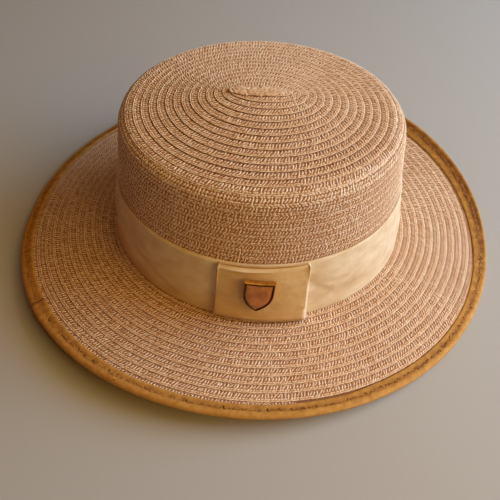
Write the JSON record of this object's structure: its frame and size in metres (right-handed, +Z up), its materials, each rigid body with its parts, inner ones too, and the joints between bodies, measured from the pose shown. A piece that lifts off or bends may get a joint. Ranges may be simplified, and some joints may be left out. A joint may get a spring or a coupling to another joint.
{
  "type": "straw boater hat",
  "caption": "Straw boater hat of sewn braid: flat-topped oval crown, brim with a cloth binding, ribbon band and a flat ribbon bow with a small shield badge. Open below for the head.",
  "frame": {"origin": "on the ground under the middle of the hat, which rests on the two ends of its brim", "axes": "+Z up; +X along the head's long way, to the right as seen from the bow; the bow and badge face -Y"},
  "size_m": [0.3352, 0.3112, 0.1208],
  "materials": {
    "straw_crown": "sewn rows of plaited tan paper straw, matt with a slight gloss on each strand",
    "straw_brim": "sewn rows of plaited tan paper straw, matt with a slight gloss on each strand",
    "binding_tape": "golden-brown cloth tape, stitched through",
    "band_ribbon": "pale gold satin ribbon",
    "bow_ribbon": "pale gold satin ribbon",
    "badge_metal": "dark bronze casting with worn bright edges",
    "badge_enamel": "plain amber enamel field"
  },
  "bodies": {
    "root": {"crown": "straw_crown", "brim": "straw_brim", "brim_binding": "binding_tape", "hat_band": "band_ribbon", "bow_loop": "bow_ribbon", "badge": "badge_metal", "badge_field": "badge_enamel"}
  },
  "joints": []
}
